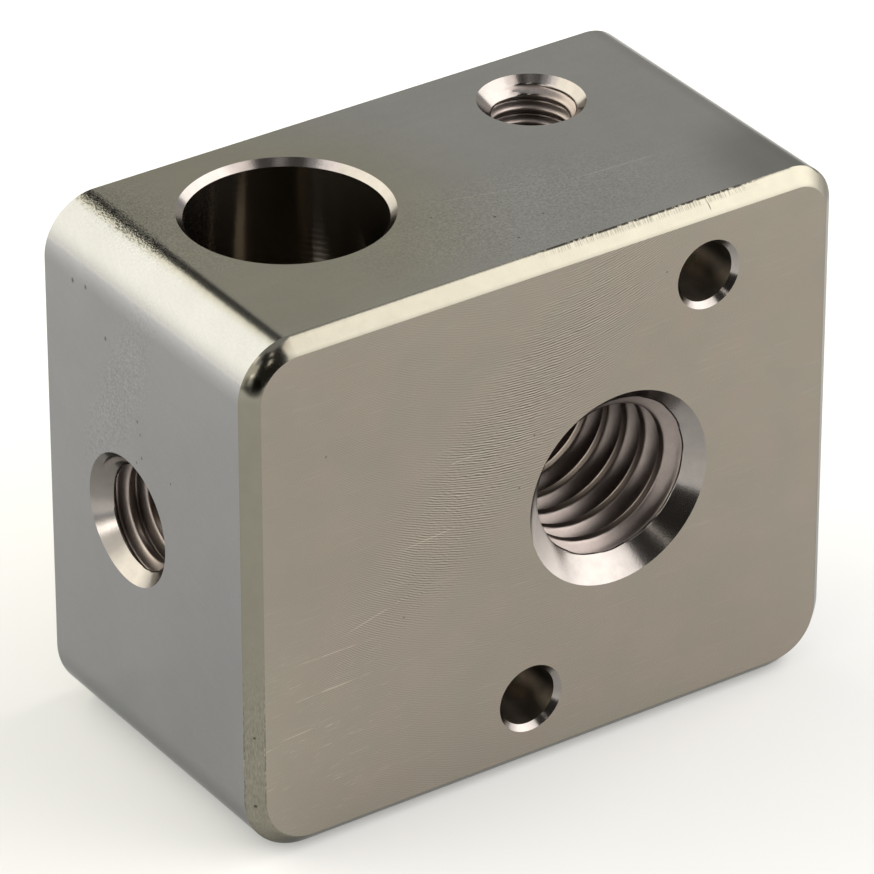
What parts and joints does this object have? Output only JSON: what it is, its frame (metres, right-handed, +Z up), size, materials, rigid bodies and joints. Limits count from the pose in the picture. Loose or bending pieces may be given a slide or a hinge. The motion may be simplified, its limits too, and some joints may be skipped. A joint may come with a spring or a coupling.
{
  "type": "heater block",
  "caption": "Plated metal heater block for a 3D printer's hot end, with a heater bore, a nozzle thread, tie screw holes and threads for a heater clamp screw and a sensor.",
  "frame": {"origin": "middle of the base, the long narrow side that the block rests on", "axes": "+X along the block's length, away from the end with the heater clamp thread; +Y through its thickness, away from the face that the nozzle leaves; +Z up, along the heater bore"},
  "size_m": [0.022, 0.012, 0.0182],
  "materials": {
    "satin_nickel": "satin nickel plate over machined copper"
  },
  "bodies": {
    "root": {"heater_block": "satin_nickel"}
  },
  "joints": []
}
